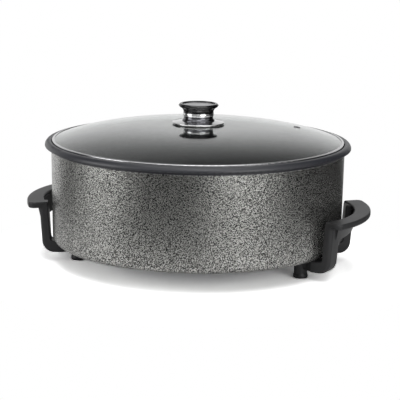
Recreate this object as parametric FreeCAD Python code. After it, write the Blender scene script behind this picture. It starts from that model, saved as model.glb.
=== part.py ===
"""Electric party pan with a loose glass lid.

A deep cast pan stands on two moulded side handles whose legs run down and under it. A tubular element in
its floor heats it, and the control that plugs into the inlet on the -X side reads its floor through a
sleeve. Millimetres; +Z is up, z = 0 is the table, the origin is on the pan's axis and +X runs along the
right handle.
"""
import FreeCAD, Part
import math
import os
from FreeCAD import Vector

# ---- lid: glass, band and vent ----
lid_radius = 199.8            # outside of the steel band
lid_rise = 22.2               # from the glass's edge up to its middle
glass = 4.0                   # thickness of the glass
glass_edge_rise = 0.3         # top of the glass at its edge, above the lip's crest
band_sheet = 0.75             # sheet of the steel band
band_lap = 2.6                # how far the band laps over the glass
fit_gap = 0.05                # between pieces that are pressed or crimped together
vent_distance = 140.0         # vent hole from the lid's axis
vent_angle = 26.6             # degrees from +X
vent_hole_radius = 3.3
eyelet_bore = 2.2
eyelet_flange = 4.5
eyelet_sheet = 0.6

# ---- pan ----
rim_height = 170.0            # crest of the lip above the table
base_gap = 30.0               # underside of the pan above the table
lid_clearance = 0.8           # round the band, inside the lip
seat_gap = 0.3                # under the band, on its ledge
seat_depth = 5.0              # ledge below the crest
ledge_width = 3.1             # ledge that the band rests on
lip_width = 9.0               # from the lid's recess to the lip's outer edge
lip_height = 7.0              # from the crest down to the lip's lower edge
lip_edge = 2.8                # thickness of the lip's lower edge
lip_undercut = 2.2            # hollow under the lip
lip_round = 6.2
wall = 3.4
wall_draft = 1.4              # the wall is this much smaller in radius at its foot
floor = 4.5
base_round = 9.0              # outside corner between wall and floor
floor_round = 13.0            # inside corner

# ---- moulded handles ----
grip_height = 83.0            # top of the grip above the table
grip_thickness = 8.0
grip_reach = 40.0             # from the pan's wall to the outermost point of the grip
finger_gap = 18.0             # between the wall and the grip, in the middle
grip_overhang = 15.4          # past the outside of a leg, at the grip's ends
grip_setback = 5.4            # inner edge of the grip outside the leg's inner face, at its ends
grip_round = 3.0
grip_corner = 7.0
leg_angle = 17.4              # each leg's direction from the handle's middle, degrees
leg_width = 20.0
leg_thickness = 13.4
leg_lean = 3.8                # degrees, inwards on the way down
leg_gap = 3.9                 # between the wall and a leg, under the grip
leg_bend = 17.0               # outside of the bend from leg to arm
leg_inner_bend = 4.0
leg_round = 2.4
nib_gap = 0.4                 # between the wall and the nib that steadies the handle
nib_height = 10.0
nib_slope = 3.5
leg_top_drop = 1.5            # top of a leg below the grip's top face
arm_height = 16.5
arm_clearance = 1.5           # air between the hot pan and an arm
arm_width = 13.0              # at its inner end
arm_taper_start = 13.0        # from the leg's inner face to where the arm begins to narrow
arm_taper = 14.0
arm_blend = 8.0               # in plan, at both ends of that taper
apron_drop = 19.0             # apron's lower edge below the underside of the grip
apron_thickness = 4.0
apron_flare = 5.0             # its top stands out this much further than its lower edge
arch_round = 12.0             # corners between the apron and the legs

# ---- feet and the screws through them ----
foot_inset = 34.5             # foot's middle inside the pan's wall
post_radius = 9.0
foot_height = 9.0
foot_flare = 1.0
foot_round = 2.2
foot_counterbore = 5.8
foot_web = 4.2                # rubber above the counterbore
boss_radius = 6.0
boss_length = 9.0
boss_clearance = 0.3          # round a boss in its socket
blind_floor = 2.0             # metal left between a tapped hole and the food
tapped_wall = 1.5             # metal round a small tapped hole
screw_tip_gap = 1.0           # between a screw's tip and the end of its hole
m5_radius = 2.45
m4_radius = 1.95
m3_radius = 1.45
screw_clearance = 0.25        # round a screw in a through hole
tap_gap = 0.05                # round a screw in its tapped hole
head_height_share = 0.62      # of a pan head, to its own radius
head_radius_share = 1.85      # of a pan head, to its screw's radius
head_bevel_share = 0.3
washer_radius = 5.2
washer_thickness = 1.0

# ---- element under the floor ----
element_inset = 81.5          # element's ring inside the pan's wall
tube_radius = 3.3
element_drop = 3.6            # tube's axis below the underside of the pan
rib_width = 13.0
rib_height = 4.4
rib_opening = 14.0            # half the angle left open for the cold ends, degrees
cold_bend = 14.0
cold_end_start = 7.0          # straight run before the step down
step_slope = 50.0             # degrees
step_bend = 6.0
seal_length = 4.0
seal_radius = 4.1
clip_angles = (45.0, 135.0, 225.0, 315.0)
clip_width = 10.0
clip_sheet = 1.0
clip_screw_offset = 13.0      # screw from the element's axis, towards the middle
clip_overlap = 6.0            # past the element's axis, and past the screw
pad_radius = 4.5

# ---- inlet for the plug-in control ----
pin_spacing = 26.0
pin_radius = 2.5
pin_stem_radius = 1.3
pin_tip = 1.6                 # rounding of a pin's tip
pin_height = 18.5             # pins above the table
pin_length = 24.0
socket_width = 60.0
socket_depth = 37.0
socket_height = 19.5
socket_inset = 2.5            # mouth of the socket behind the pan's wall
socket_top_gap = 1.0          # between the socket and the pan
socket_wall = 2.5
socket_side_wall = 4.0
socket_back_wall = 6.0
socket_round = 3.0
ear_radius = 5.5
ear_thickness = 5.0
ear_offset = 6.0              # ear's screw from the socket's side
ear_setback = 19.0            # ear's screw behind the mouth

# ---- sleeve for the control's sensor ----
sleeve_radius = 4.0
sleeve_bore = 3.25
sleeve_height = 19.5          # its axis above the table
sleeve_mouth = 19.0           # behind the socket's mouth
sleeve_reach = 18.0           # its inner end inside the element's ring
sleeve_end_wall = 2.0
sleeve_pad_width = 16.0
sleeve_pad_length = 52.0
sleeve_bed = 0.4              # depth of the channel that the sleeve lies in
clamp_width = 12.0
clamp_sheet = 1.2
clamp_ear = 9.0
clamp_from_end = 10.0         # clamp's middle from the sleeve's inner end
clamp_pad_width = 26.0

# ---- earth contact ----
earth_offset = 21.0           # sideways from the inlet's middle
earth_width = 5.0
earth_sheet = 0.8
earth_tongue = 22.0           # length inside the socket
earth_stand_off = 2.0         # straight run behind the socket
earth_ear = 10.0
earth_rise = 3.6
earth_slope = 4.0

# ---- sheet steel reflector ----
reflector_gap = 2.0           # between its rim's foot and the element's clips
reflector_rim = 11.0          # width of the sloping rim
reflector_sheet = 0.6
reflector_drop = 11.0         # its flat below the pan
reflector_rim_rise = 5.0
reflector_slot_width = 70.0   # left open for the inlet
reflector_slot_gap = 12.0     # past the sleeve's end
reflector_slot_round = 8.0
reflector_screw_inset = 26.0  # screws inside the element's ring
reflector_angles = (0.0, 120.0, 240.0)
reflector_hole_radius = 5.0
reflector_hole_inset = 58.0   # air holes inside the element's ring
reflector_hole_count = 8

# ---- knob ----
saucer_radius = 36.0
saucer_sheet = 1.0
saucer_bead = 0.9
saucer_height = 3.2           # from its rim up to the collar
collar_radius = 22.2          # at its foot
collar_waist = 20.2
collar_height = 7.0
ring_radius = 21.3
ring_height = 4.4
neck_radius = 20.6
neck_height = 4.0
cap_radius = 28.0
cap_height = 12.4             # from the ring to the knob's top
cap_rim = 2.4                 # black rim round the inlay
cap_edge = 2.2                # top of the knob down to its widest point
inlay_radius = 24.0
inlay_thickness = 1.1
inlay_depth = 1.6
spigot_radius = 12.0
insert_radius = 4.6
insert_length = 9.0
m6_radius = 2.95
gasket_thickness = 0.8
gasket_radius = 33.0
gasket_step = 2.0             # slope up to the collar's seat
inner_gasket_radius = 12.0
inner_gasket_thickness = 1.2
glass_hole_radius = 5.0
knob_washer_radius = 10.0
knob_washer_thickness = 1.2

# ---- worked out from the sizes above ----
recess_radius = lid_radius + lid_clearance
lip_radius = recess_radius + lip_width
wall_inner_radius = recess_radius - ledge_width
wall_top_radius = wall_inner_radius + wall
wall_foot_radius = wall_top_radius - wall_draft
wall_top = rim_height - lip_height - 0.5 * lip_edge
glass_radius = lid_radius - band_sheet - fit_gap
glass_edge_height = rim_height + glass_edge_rise
glass_top = glass_edge_height + lid_rise
grip_base = grip_height - grip_thickness
hole_top = base_gap + floor - blind_floor
screw_top = hole_top - screw_tip_gap
arm_top = base_gap - arm_clearance
arm_base = arm_top - arm_height
boss_base = base_gap - boss_length
foot_distance = wall_foot_radius - foot_inset
element_radius = wall_foot_radius - element_inset
element_height = base_gap - element_drop
socket_mouth = wall_foot_radius - socket_inset
socket_top = base_gap - socket_top_gap
socket_back = socket_mouth - socket_depth
pin_shoulder = socket_back + socket_back_wall
earth_bend = socket_back - earth_stand_off
sleeve_start = socket_mouth - sleeve_mouth
sleeve_end = element_radius - sleeve_reach
sleeve_pad_base = sleeve_height + sleeve_radius - sleeve_bed
reflector_height = base_gap - reflector_drop
reflector_flat_radius = element_radius + clip_overlap + reflector_gap
reflector_radius = reflector_flat_radius + reflector_rim
reflector_slot_start = sleeve_end - reflector_slot_gap
reflector_screw_distance = element_radius - reflector_screw_inset
reflector_hole_distance = element_radius - reflector_hole_inset
saucer_base = glass_top + gasket_thickness
collar_base = saucer_base + saucer_height
ring_base = collar_base + collar_height
neck_base = ring_base + ring_height
knob_top = neck_base + cap_height
TURN = 360.0
UP = Vector(0, 0, 1)
ORIGIN = Vector(0, 0, 0)


# ---- shared tools ----
def upright(radius, height):
    """Point of a profile that is drawn in the XZ plane."""
    return Vector(radius, 0, height)


def flat(x, y):
    """Point of an outline that is drawn in the XY plane."""
    return Vector(x, y, 0)


def polar(radius, degrees, height=0.0):
    """Point at a distance and direction from the pan's axis."""
    angle = math.radians(degrees)
    return Vector(radius * math.cos(angle), radius * math.sin(angle), height)


def corner(before, here, after, radius):
    """Start, middle and end of the arc that rounds the corner at here, or three times here."""
    if radius == 0:
        return here, here, here
    back = (before - here).normalize()
    ahead = (after - here).normalize()
    half = back.getAngle(ahead) / 2
    centre = here + (back + ahead).normalize() * (radius / math.sin(half))
    middle = centre + (here - centre).normalize() * radius
    reach = radius / math.tan(half)
    return here + back * reach, middle, here + ahead * reach


def rounded_edges(points, radii, closed):
    """Straight runs through points, with a tangent arc of each radius at its corner."""
    count = len(points)
    arcs = []
    for i, point in enumerate(points):
        inside = closed or 0 < i < count - 1
        radius = radii[i] if inside else 0
        arcs.append(corner(points[i - 1], point, points[(i + 1) % count], radius))
    edges = []
    for i, (start, middle, end) in enumerate(arcs):
        if radii[i] and not start.isEqual(end, 1e-9):
            edges.append(Part.Arc(start, middle, end).toShape())
        if closed or i < count - 1:
            following = arcs[(i + 1) % count][0]
            if not end.isEqual(following, 1e-6):
                edges.append(Part.LineSegment(end, following).toShape())
    return edges


def face(outline, place):
    """Flat face inside an outline of (a, b) or (a, b, corner radius) points."""
    points = [place(*spot[:2]) for spot in outline]
    radii = [spot[2] if len(spot) > 2 else 0 for spot in outline]
    return Part.Face(Part.Wire(rounded_edges(points, radii, True)))


def turned(outline, angle=TURN):
    """Solid of revolution round the pan's axis from a (radius, height, corner) outline."""
    return face(outline, upright).revolve(ORIGIN, UP, angle)


def prism(outline, base, height):
    """Upright prism on an (x, y, corner) outline."""
    solid = face(outline, flat).extrude(Vector(0, 0, height))
    return solid.translated(Vector(0, 0, base))


def plate(outline, width, offset=0.0):
    """Plate of a width across Y, from an (x, z, corner) outline, centred on y = offset."""
    solid = face(outline, upright).extrude(Vector(0, width, 0))
    return solid.translated(Vector(0, offset - width / 2, 0))


def block(low, high):
    """Box between two corners."""
    size = [high[i] - low[i] for i in range(3)]
    return Part.makeBox(*size, Vector(*low))


def rod(radius, start, end):
    """Cylinder from one point to another."""
    return Part.makeCylinder(radius, (end - start).Length, start, end - start)


def disc(radius, bore, base, thickness, centre=ORIGIN):
    """Flat ring that lies level."""
    low = Vector(centre.x, centre.y, base)
    ring = Part.makeCylinder(radius, thickness, low)
    return ring.cut(Part.makeCylinder(bore, thickness, low))


def filleted(shape, radius, wanted):
    """Shape with a fillet on every edge whose middle point the test wants."""
    edges = [edge for edge in shape.Edges if wanted(edge.CenterOfMass)]
    return shape.makeFillet(radius, edges)


def joined(first, *others):
    """One solid from pieces that touch."""
    return first.multiFuse(list(others)).removeSplitter()


def spun(shape, degrees):
    """Shape turned about the pan's axis."""
    return shape.rotated(ORIGIN, UP, degrees)


def pan_head_screw(radius, seat, tip, spot):
    """Screw that points up: its head hangs below the seat, its shank ends at the tip."""
    head = radius * head_radius_share
    drop = head * head_height_share
    outline = [(0, tip), (0, seat - drop), (head, seat - drop, head * head_bevel_share), (head, seat),
               (radius, seat), (radius, tip)]
    return turned(outline).translated(Vector(spot.x, spot.y, 0))


def wall_radius(height):
    """Outside radius of the pan's wall at a height."""
    share = (height - base_gap) / (wall_top - base_gap)
    return wall_foot_radius + wall_draft * share


# ---- places that several pieces share ----
def leg_inner(height):
    """Radius of a leg's inner face at a height."""
    top = wall_radius(grip_base) + leg_gap
    return top - (grip_base - height) * math.tan(math.radians(leg_lean))


def leg_outer(height):
    """Radius of a leg's outer face at a height."""
    return leg_inner(height) + leg_thickness


def foot_spots():
    """Name, x and y of each foot."""
    sides = (("right", 0.0), ("left", 180.0))
    spots = []
    for side, turn in sides:
        front = -leg_angle if side == "right" else leg_angle
        spots.append((f"foot_{side}_front", polar(foot_distance, turn + front)))
        spots.append((f"foot_{side}_rear", polar(foot_distance, turn - front)))
    return spots


def ear_spots():
    """Screws of the inlet socket."""
    x = -(socket_mouth - ear_setback)
    y = socket_width / 2 + ear_offset
    return [Vector(x, y, 0), Vector(x, -y, 0)]


def clip_screw_spots():
    """Screws of the element's clips."""
    return [polar(element_radius - clip_screw_offset, angle) for angle in clip_angles]


def reflector_screw_spots():
    """Screws of the reflector."""
    return [polar(reflector_screw_distance, angle) for angle in reflector_angles]


def clamp_screw_spots():
    """Screws of the sleeve's clamp."""
    x = -(sleeve_end + clamp_from_end)
    y = sleeve_radius + clamp_sheet + clamp_ear / 2
    return [Vector(x, y, 0), Vector(x, -y, 0)]


def earth_screw_spot():
    """Screw of the earth contact."""
    return Vector(-earth_bend + earth_slope + earth_ear / 2, earth_offset, 0)


# ---- pan ----
def pan_shell():
    """Cast pan with a turned-down lip and a ledge for the lid."""
    lip_low = rim_height - lip_height
    inner_foot = wall_foot_radius - wall
    return turned([
        (0, base_gap),
        (wall_foot_radius, base_gap, base_round),
        (wall_top_radius, wall_top, 2.0),
        (lip_radius - lip_edge - 1.0, lip_low + lip_undercut, 1.0),
        (lip_radius - lip_edge, lip_low, 0.8),
        (lip_radius, lip_low, 0.9),
        (lip_radius, rim_height, lip_round),
        (recess_radius, rim_height, 1.2),
        (recess_radius, rim_height - seat_depth, 0.5),
        (wall_inner_radius, rim_height - seat_depth, 0.8),
        (inner_foot, base_gap + floor, floor_round),
        (0, base_gap + floor),
    ])


def tapped_boss(spot, radius, base, thread):
    """Round boss under the floor, and the blind hole up its middle."""
    low = Vector(spot.x, spot.y, base)
    boss = Part.makeCylinder(radius, base_gap - base + 0.5 * floor, low)
    hole = Part.makeCylinder(thread + tap_gap, hole_top - base, low)
    return boss, hole


def element_rib():
    """Raised ring under the floor that the element is pressed into, open at the inlet."""
    half = rib_width / 2
    ring = turned([
        (element_radius - half, base_gap - rib_height, 1.0),
        (element_radius + half, base_gap - rib_height, 1.0),
        (element_radius + half, base_gap + 0.5 * floor),
        (element_radius - half, base_gap + 0.5 * floor),
    ], TURN - 2 * rib_opening)
    return spun(ring, rib_opening - 180)


def sleeve_pad():
    """Cast pad that carries heat down to the sensor's sleeve."""
    base = sleeve_pad_base
    top = base_gap + 0.5 * floor
    inner = -sleeve_end
    half = sleeve_pad_width / 2
    long_pad = block((inner - sleeve_pad_length, -half, base), (inner, half, top))
    middle = -(sleeve_end + clamp_from_end)
    wide = clamp_pad_width / 2
    cross_pad = block((middle - clamp_width / 2, -wide, base), (middle + clamp_width / 2, wide, top))
    return joined(long_pad, cross_pad)


def make_pan_body():
    """Pan with every boss, pad and rib of its underside."""
    small_boss = m3_radius + tapped_wall
    fixings = [(spot, boss_radius, boss_base, m5_radius) for name, spot in foot_spots()]
    fixings += [(spot, pad_radius, socket_top, m4_radius) for spot in ear_spots()]
    fixings += [(spot, pad_radius, element_height - tube_radius, m3_radius) for spot in clip_screw_spots()]
    fixings += [(spot, pad_radius, reflector_height, m4_radius) for spot in reflector_screw_spots()]
    fixings += [(spot, small_boss, sleeve_pad_base, m3_radius) for spot in clamp_screw_spots()]
    fixings += [(earth_screw_spot(), small_boss, base_gap, m3_radius)]
    bosses, holes = [], []
    for spot, radius, base, thread in fixings:
        boss, hole = tapped_boss(spot, radius, base, thread)
        bosses.append(boss)
        holes.append(hole)
    groove = Part.makeTorus(element_radius, tube_radius + fit_gap, Vector(0, 0, element_height))
    half = sleeve_radius + fit_gap
    channel = block((-sleeve_start, -half, 0), (-sleeve_end + 1, half, sleeve_height + half))
    solid = joined(pan_shell(), element_rib(), sleeve_pad(), *bosses)
    return solid.cut(Part.makeCompound([groove, channel] + holes))


# ---- handles ----
def leg_point(along, across):
    """Point of the +Y leg: along its direction from the pan's axis, and across it."""
    return spun(Part.Vertex(along, across, 0), leg_angle).Point


def grip_plate():
    """Crescent that the hand holds, cut off flush with the outer sides of the legs."""
    wall_here = wall_radius(grip_base)
    side = leg_width / 2
    outer_end = leg_point(leg_outer(grip_base) + grip_overhang, side)
    inner_end = leg_point(leg_inner(grip_base) + grip_setback, side)
    outer_mirror = Vector(outer_end.x, -outer_end.y, 0)
    inner_mirror = Vector(inner_end.x, -inner_end.y, 0)
    outside = Part.Arc(outer_mirror, Vector(wall_here + grip_reach, 0, 0), outer_end)
    inside = Part.Arc(inner_end, Vector(wall_here + finger_gap, 0, 0), inner_mirror)
    edges = [outside.toShape(), Part.LineSegment(outer_end, inner_end).toShape(),
             inside.toShape(), Part.LineSegment(inner_mirror, outer_mirror).toShape()]
    solid = Part.Face(Part.Wire(edges)).extrude(Vector(0, 0, grip_thickness))
    solid.translate(Vector(0, 0, grip_base))
    middle = grip_base + grip_thickness / 2
    far = (outer_end.x + inner_end.x) / 2
    solid = filleted(solid, grip_corner,
                     lambda p: abs(p.z - middle) < 0.1 and p.x > far and abs(p.y) > side)
    return filleted(solid, grip_round, lambda p: abs(p.z - middle) > 0.4 * grip_thickness)


def leg_and_arm():
    """Leaning leg that bends into an arm under the pan, along +X before it is turned into place."""
    top = grip_height - leg_top_drop
    nib = wall_radius(grip_height) + nib_gap
    nib_base = top - nib_height
    profile = [
        (nib, top, 1.5),
        (nib, nib_base, 1.5),
        (leg_inner(nib_base - nib_slope), nib_base - nib_slope, 2.0),
        (leg_inner(arm_top), arm_top, leg_inner_bend),
        (foot_distance, arm_top),
        (foot_distance, arm_base),
        (leg_outer(arm_base), arm_base, leg_bend),
        (leg_outer(top), top, 1.5),
    ]
    narrow_end = leg_inner(arm_base) - arm_taper_start - arm_taper
    wide_start = leg_inner(arm_base) - arm_taper_start
    beyond = leg_outer(top) + leg_width
    side, thin = leg_width / 2, arm_width / 2
    plan = [
        (foot_distance - 1, -thin), (narrow_end, -thin, arm_blend), (wide_start, -side, arm_blend),
        (beyond, -side), (beyond, side), (wide_start, side, arm_blend), (narrow_end, thin, arm_blend),
        (foot_distance - 1, thin),
    ]
    solid = plate(profile, leg_width).common(prism(plan, 0, top + 1))
    return filleted(solid, leg_round, lambda p: abs(p.y) > thin - 0.5 and p.x > foot_distance + 0.1)


def apron():
    """Flared skirt under the grip, with an arch between the legs."""
    low = grip_base - apron_drop
    foot = leg_outer(low)
    top = foot + apron_flare
    height = grip_base + 0.5 * grip_thickness
    skirt = turned([
        (foot - apron_thickness, low - arch_round), (foot, low - arch_round), (foot, low),
        (top, height), (top - apron_thickness, height), (foot - apron_thickness, low),
    ], 2 * leg_angle)
    skirt = spun(skirt, -leg_angle)
    spring = leg_point(foot, -leg_width / 2).y
    arch = face([(-spring, 0), (spring, 0), (spring, low, arch_round), (-spring, low, arch_round)],
                lambda y, z: Vector(0, y, z)).extrude(Vector(top + 1, 0, 0))
    return skirt.cut(arch)


def make_handle(turn):
    """One moulded handle: grip, apron, two legs with arms, and a post over each foot."""
    post_height = arm_top - foot_height
    pieces, holes = [], []
    for angle in (-leg_angle, leg_angle):
        pieces.append(spun(leg_and_arm(), angle))
        spot = polar(foot_distance, angle, foot_height)
        pieces.append(Part.makeCylinder(post_radius, post_height, spot))
        socket = polar(foot_distance, angle, boss_base)
        holes.append(Part.makeCylinder(boss_radius + boss_clearance, boss_length, socket))
        holes.append(Part.makeCylinder(m5_radius + screw_clearance, post_height, spot))
    solid = joined(grip_plate(), apron(), *pieces).cut(Part.makeCompound(holes))
    return spun(solid, turn)


# ---- feet and their fasteners ----
def make_foot(spot):
    """Rubber foot with a flared, rounded tread and a counterbore for its screw."""
    tread = post_radius + foot_flare
    outline = [
        (m5_radius + screw_clearance, foot_height),
        (m5_radius + screw_clearance, foot_height - foot_web),
        (foot_counterbore, foot_height - foot_web),
        (foot_counterbore, 0),
        (tread, 0, foot_round),
        (tread, foot_height * 0.55, 1.6),
        (post_radius, foot_height * 0.75, 1.6),
        (post_radius, foot_height),
    ]
    return turned(outline).translated(spot)


def make_handle_screws():
    """One M5 screw up through each foot, arm and boss."""
    seat = foot_height - foot_web - washer_thickness
    return [pan_head_screw(m5_radius, seat, screw_top, spot) for name, spot in foot_spots()]


def make_handle_washers():
    """Washer over each of those screws' heads."""
    base = foot_height - foot_web - washer_thickness
    bore = m5_radius + screw_clearance
    return [disc(washer_radius, bore, base, washer_thickness, spot) for name, spot in foot_spots()]


# ---- element ----
def element_path():
    """Axis of the element: one turn, then a bend, a step down and a straight cold end at each side."""
    side = pin_spacing / 2
    bend_y = side + cold_bend
    bend_x = -math.sqrt((element_radius + cold_bend) ** 2 - bend_y ** 2)
    meet = Vector(bend_x, bend_y, 0).normalize() * element_radius
    centre = Vector(bend_x, bend_y, 0)
    leave = Vector(bend_x, side, 0)
    between = centre + ((meet - centre).normalize() + (leave - centre).normalize()).normalize() * cold_bend
    rise = Vector(0, 0, element_height)
    first = bend_x - cold_end_start
    second = first - (element_height - pin_height) / math.tan(math.radians(step_slope))
    run = [leave + rise, Vector(first, side, element_height), Vector(second, side, pin_height),
           Vector(-socket_back + seal_length, side, pin_height)]
    side_edges = [Part.Arc(meet + rise, between + rise, leave + rise).toShape()]
    side_edges += rounded_edges(run, [0, step_bend, step_bend, 0], False)
    other = [edge.mirror(ORIGIN, Vector(0, 1, 0)) for edge in side_edges]
    far = Vector(element_radius, 0, element_height)
    mirrored = Vector(meet.x, -meet.y, element_height)
    turn = Part.Arc(meet + rise, far, mirrored).toShape()
    return Part.Wire(Part.__sortEdges__(side_edges + [turn] + other))


def make_heating_element():
    """Sheathed tube along its path."""
    path = element_path()
    start = Vector(-socket_back + seal_length, pin_spacing / 2, pin_height)
    section = Part.Wire(Part.makeCircle(tube_radius, start, Vector(1, 0, 0)))
    return path.makePipeShell([section], True, False)


def make_end_seals():
    """Ceramic bead on each cold end, round the pin's stem."""
    seals = []
    for side in (-1, 1):
        y = side * pin_spacing / 2
        outer = Vector(-socket_back, y, pin_height)
        inner = Vector(-socket_back + seal_length, y, pin_height)
        bead = rod(seal_radius, outer, inner)
        seals.append(bead.cut(rod(pin_stem_radius + fit_gap, outer, inner)))
    return seals


def make_element_clips():
    """Straps that hold the element up in its rib."""
    top = element_height - tube_radius
    inner = element_radius - clip_screw_offset - clip_overlap
    outer = element_radius + clip_overlap
    half = clip_width / 2
    strap = prism([(inner, -half, half - 0.2), (outer, -half, 2.0), (outer, half, 2.0),
                   (inner, half, half - 0.2)], top - clip_sheet, clip_sheet)
    hole = Part.makeCylinder(m3_radius + screw_clearance, clip_sheet,
                             Vector(element_radius - clip_screw_offset, 0, top - clip_sheet))
    return [spun(strap.cut(hole), angle) for angle in clip_angles]


def make_clip_screws():
    """Screw in each clip."""
    seat = element_height - tube_radius - clip_sheet
    return [pan_head_screw(m3_radius, seat, screw_top, spot) for spot in clip_screw_spots()]


# ---- inlet ----
def make_inlet_socket():
    """Moulded shroud, open towards -X, with an ear for a screw at each side."""
    half = socket_width / 2
    base = socket_top - socket_height
    mouth, back = -socket_mouth, -socket_back
    box = face([(-half, base, socket_round), (half, base, socket_round), (half, socket_top, 1.0),
                (-half, socket_top, 1.0)], lambda y, z: Vector(mouth, y, z))
    box = box.extrude(Vector(socket_depth, 0, 0))
    ears = []
    for spot in ear_spots():
        low = Vector(spot.x, spot.y, socket_top - ear_thickness)
        reach = math.copysign(half - 1, spot.y)
        ear_y = sorted((reach, spot.y))
        web = block((spot.x - ear_radius, ear_y[0], low.z), (spot.x + ear_radius, ear_y[1], socket_top))
        ears += [Part.makeCylinder(ear_radius, ear_thickness, low), web]
    inside = half - socket_side_wall
    cavity = face([(-inside, base + socket_wall, 1.5), (inside, base + socket_wall, 1.5),
                   (inside, socket_top - socket_wall, 1.0), (-inside, socket_top - socket_wall, 1.0)],
                  lambda y, z: Vector(mouth - 1, y, z))
    cuts = [cavity.extrude(Vector(socket_depth - socket_back_wall + 1, 0, 0))]
    for side in (-1, 1):
        y = side * pin_spacing / 2
        cuts.append(rod(pin_stem_radius + fit_gap, Vector(mouth, y, pin_height), Vector(back, y, pin_height)))
    cuts.append(rod(sleeve_radius + fit_gap, Vector(mouth, 0, sleeve_height), Vector(back, 0, sleeve_height)))
    tongue = earth_tongue_height()
    cuts.append(block((mouth, earth_offset - earth_width / 2 - fit_gap, tongue - fit_gap),
                      (back, earth_offset + earth_width / 2 + fit_gap, tongue + earth_sheet + fit_gap)))
    for spot in ear_spots():
        low = Vector(spot.x, spot.y, socket_top - ear_thickness)
        cuts.append(Part.makeCylinder(m4_radius + screw_clearance, ear_thickness, low))
    return joined(box, *ears).cut(Part.makeCompound(cuts))


def make_socket_screws():
    """Screw in each ear."""
    seat = socket_top - ear_thickness
    return [pan_head_screw(m4_radius, seat, screw_top, spot) for spot in ear_spots()]


def make_terminal_pins():
    """Two contact pins, with stems through the back wall and the seals to the element."""
    pins = []
    for side in (-1, 1):
        outline = [(0, 0), (pin_radius, 0), (pin_radius, pin_length, pin_tip), (0, pin_length)]
        pin = turned(outline).rotated(ORIGIN, Vector(0, 1, 0), -90)
        y = side * pin_spacing / 2
        pin = pin.translated(Vector(-pin_shoulder, y, pin_height))
        stem = rod(pin_stem_radius, Vector(-pin_shoulder, y, pin_height),
                   Vector(-socket_back + seal_length, y, pin_height))
        pins.append(joined(pin, stem))
    return pins


def make_probe_sleeve():
    """Blind tube for the control's sensor."""
    mouth = Vector(-sleeve_start, 0, sleeve_height)
    end = Vector(-sleeve_end, 0, sleeve_height)
    bore_end = Vector(-sleeve_end - sleeve_end_wall, 0, sleeve_height)
    return rod(sleeve_radius, mouth, end).cut(rod(sleeve_bore, mouth, bore_end))


def make_probe_clamp():
    """Saddle that holds the sleeve up in its channel."""
    half = clamp_width / 2
    middle = -(sleeve_end + clamp_from_end)
    top = sleeve_pad_base
    inner = sleeve_radius + fit_gap
    outer = inner + clamp_sheet
    ear = outer + clamp_ear
    low = top - clamp_sheet
    ends = rod(outer, Vector(middle - half, 0, sleeve_height), Vector(middle + half, 0, sleeve_height))
    ends = ends.common(block((middle - half, -outer, 0), (middle + half, outer, sleeve_height)))
    sides = block((middle - half, -outer, sleeve_height), (middle + half, outer, top))
    ears = block((middle - half, -ear, low), (middle + half, ear, top))
    bore = rod(inner, Vector(middle - half, 0, sleeve_height), Vector(middle + half, 0, sleeve_height))
    slot = block((middle - half, -inner, sleeve_height), (middle + half, inner, top))
    holes = [Part.makeCylinder(m3_radius + screw_clearance, clamp_sheet, Vector(spot.x, spot.y, low))
             for spot in clamp_screw_spots()]
    return joined(ends, sides, ears).cut(Part.makeCompound([bore, slot] + holes))


def make_clamp_screws():
    """Screws of the clamp."""
    seat = sleeve_pad_base - clamp_sheet
    return [pan_head_screw(m3_radius, seat, screw_top, spot) for spot in clamp_screw_spots()]


def earth_tongue_height():
    """Underside of the earth contact where it passes the socket's back wall."""
    return base_gap - earth_rise - earth_sheet


def make_earth_contact():
    """Spring strip from the inlet up to the pan."""
    tongue = earth_tongue_height()
    tip = -(pin_shoulder + earth_tongue)
    bend = -earth_bend
    ear_start = bend + earth_slope
    ear_end = ear_start + earth_ear
    up = base_gap - earth_sheet
    outline = [(tip, tongue), (bend, tongue, 1.0), (ear_start, up, 1.0), (ear_end, up), (ear_end, base_gap),
               (ear_start - 0.4, base_gap, 1.0), (bend - 0.4, tongue + earth_sheet, 1.0),
               (tip, tongue + earth_sheet)]
    strip = plate(outline, earth_width, earth_offset)
    spot = earth_screw_spot()
    return strip.cut(Part.makeCylinder(m3_radius + screw_clearance, earth_sheet * 2, Vector(spot.x, spot.y, up)))


def make_earth_screw():
    """Screw of the earth contact."""
    return [pan_head_screw(m3_radius, base_gap - earth_sheet, screw_top, earth_screw_spot())]


# ---- reflector ----
def make_reflector():
    """Dished steel sheet under the element, open at the inlet, with a ring of holes."""
    low = reflector_height - reflector_sheet
    rim = reflector_height + reflector_rim_rise
    dish = turned([
        (0, low), (reflector_flat_radius, low, 3.0), (reflector_radius, rim - reflector_sheet),
        (reflector_radius, rim), (reflector_flat_radius, reflector_height, 3.0), (0, reflector_height),
    ])
    half = reflector_slot_width / 2
    beyond = reflector_radius + 1
    slot = [(-beyond, -half), (-reflector_slot_start, -half, reflector_slot_round),
            (-reflector_slot_start, half, reflector_slot_round), (-beyond, half)]
    cuts = [prism(slot, low - 1, reflector_rim_rise + 3)]
    for spot in reflector_screw_spots():
        cuts.append(Part.makeCylinder(m4_radius + screw_clearance, 3, Vector(spot.x, spot.y, low - 1)))
    for i in range(reflector_hole_count):
        spot = polar(reflector_hole_distance, (i + 0.5) * TURN / reflector_hole_count, low - 1)
        cuts.append(Part.makeCylinder(reflector_hole_radius, 3, spot))
    return dish.cut(Part.makeCompound(cuts))


def make_reflector_screws():
    """Screws up into the pan's bosses."""
    seat = reflector_height - reflector_sheet
    return [pan_head_screw(m4_radius, seat, screw_top, spot) for spot in reflector_screw_spots()]


# ---- lid ----
def glass_height(radius):
    """Top of the glass: nearly flat in the middle, falling with the cube of the radius."""
    return glass_top - lid_rise * (radius / glass_radius) ** 3


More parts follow.
